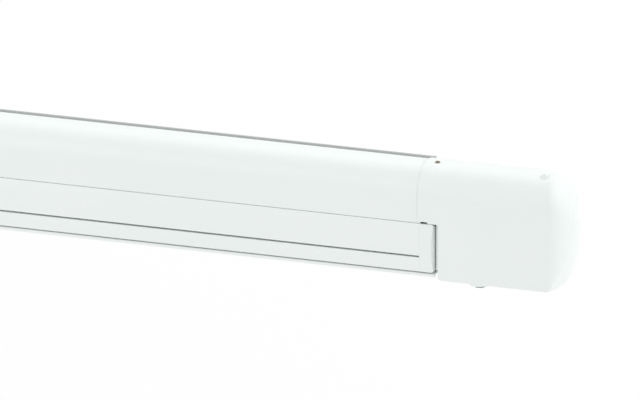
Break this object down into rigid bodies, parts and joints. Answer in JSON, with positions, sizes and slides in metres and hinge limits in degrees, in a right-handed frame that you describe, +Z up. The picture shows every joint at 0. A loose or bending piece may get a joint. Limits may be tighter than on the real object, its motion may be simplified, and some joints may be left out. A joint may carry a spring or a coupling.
{
  "type": "roll out awning",
  "caption": "Wall-hung cassette awning: a long white case with domed end caps, crank-driven canopy roller, lead bar and folding spring arms.",
  "frame": {"origin": "on the wall plane at the middle of the case's length, at the centre of the middle wall bracket's back face", "axes": "+X along the case to the crank end, +Y into the wall, -Y is the front, +Z up"},
  "size_m": [2.5998, 0.0956, 0.1396],
  "materials": {
    "coated_aluminium": "satin",
    "white_plastic": "satin",
    "grey_rubber": "matte",
    "canopy_cloth": "matte",
    "black_plastic": "matte",
    "steel": "satin",
    "plain_aluminium": "satin",
    "cast_aluminium": "matte"
  },
  "bodies": {
    "case": {"case_profile": "coated_aluminium", "top_gasket": "grey_rubber", "right_end_cap": "white_plastic", "left_end_cap": "white_plastic", "right_end_plate": "coated_aluminium", "left_end_plate": "coated_aluminium", "right_roller_bush": "black_plastic", "left_roller_bush": "black_plastic", "winch_gearbox": "cast_aluminium", "right_shoulder_bracket": "cast_aluminium", "left_shoulder_bracket": "cast_aluminium", "right_shoulder_pin": "steel", "left_shoulder_pin": "steel", "right_cap_screws": "steel", "left_cap_screws": "steel", "right_cap_rivet": "white_plastic", "left_cap_rivet": "white_plastic", "end_plate_screws": "steel", "wall_bracket_left": "plain_aluminium", "wall_bracket_center": "plain_aluminium", "wall_bracket_right": "plain_aluminium", "bracket_lock_screws": "steel"},
    "roller": {"roller_tube": "plain_aluminium", "roller_end_left": "cast_aluminium", "roller_end_right": "cast_aluminium", "rolled_canopy": "canopy_cloth", "rear_keder": "canopy_cloth"},
    "crank": {"crank_socket": "steel"},
    "lead_bar": {"lead_bar_profile": "coated_aluminium", "right_lead_bar_plug": "white_plastic", "left_lead_bar_plug": "white_plastic", "right_wrist_bracket": "cast_aluminium", "left_wrist_bracket": "cast_aluminium", "right_wrist_pin": "steel", "left_wrist_pin": "steel", "front_keder": "canopy_cloth"},
    "canopy_hem": {"canopy_hem": "canopy_cloth"},
    "right_inner_arm": {"right_inner_arm_tube": "coated_aluminium", "right_shoulder_knuckle": "cast_aluminium", "right_elbow_fork": "cast_aluminium", "right_elbow_pin": "steel", "right_arm_spring": "steel", "right_arm_cable": "steel"},
    "right_outer_arm": {"right_outer_arm_tube": "coated_aluminium", "right_elbow_tongue": "cast_aluminium", "right_wrist_tongue": "cast_aluminium"},
    "left_inner_arm": {"left_inner_arm_tube": "coated_aluminium", "left_shoulder_knuckle": "cast_aluminium", "left_elbow_fork": "cast_aluminium", "left_elbow_pin": "steel", "left_arm_spring": "steel", "left_arm_cable": "steel"},
    "left_outer_arm": {"left_outer_arm_tube": "coated_aluminium", "left_elbow_tongue": "cast_aluminium", "left_wrist_tongue": "cast_aluminium"}
  },
  "joints": [
    {"name": "right_shoulder", "type": "hinge", "parent": "case", "child": "right_inner_arm", "pos_m": [1.09, -0.028, -0.03401], "axis": [0, -0.1392, 0.9903], "range_deg": [0, 77.3]},
    {"name": "right_elbow", "type": "hinge", "parent": "right_inner_arm", "child": "right_outer_arm", "pos_m": [0.06006, -0.03889, -0.03554], "axis": [0, -0.1392, 0.9903], "range_deg": [-154.7, 0]},
    {"name": "right_wrist", "type": "hinge", "parent": "right_outer_arm", "child": "lead_bar", "pos_m": [1.09, -0.04979, -0.03707], "axis": [0, -0.1392, 0.9903], "range_deg": [0, 77.4]},
    {"name": "left_shoulder", "type": "hinge", "parent": "case", "child": "left_inner_arm", "pos_m": [-1.09, -0.028, -0.03401], "axis": [0, -0.1392, 0.9903], "range_deg": [-77.4, 0]},
    {"name": "left_elbow", "type": "hinge", "parent": "left_inner_arm", "child": "left_outer_arm", "pos_m": [-0.06006, -0.03889, -0.03554], "axis": [0, -0.1392, 0.9903], "range_deg": [0, 154.7]},
    {"name": "roller_turn", "type": "hinge", "parent": "case", "child": "roller", "pos_m": [0, -0.05402, 0.02], "axis": [-1, 0, 0], "range_deg": [0, 3754]},
    {"name": "crank_turn", "type": "hinge", "parent": "case", "child": "crank", "pos_m": [1.1917, -0.07852, -0.06], "axis": [0, 0, 1], "range_deg": [0, 22524.02]},
    {"name": "canopy_travel", "type": "slide", "parent": "case", "child": "canopy_hem", "axis": [0, -0.9903, -0.1392], "range_m": [0, 1.99332]}
  ],
  "couplings": [
    {"joint": "right_elbow", "follows": "right_shoulder", "ratio": -2},
    {"joint": "right_wrist", "follows": "right_shoulder", "ratio": 1},
    {"joint": "left_shoulder", "follows": "right_shoulder", "ratio": -1},
    {"joint": "left_elbow", "follows": "right_shoulder", "ratio": 2},
    {"joint": "roller_turn", "follows": "right_shoulder", "ratio": 48.551},
    {"joint": "crank_turn", "follows": "right_shoulder", "ratio": 291.31},
    {"joint": "canopy_travel", "follows": "right_shoulder", "m_per_rad": 1.4767}
  ]
}
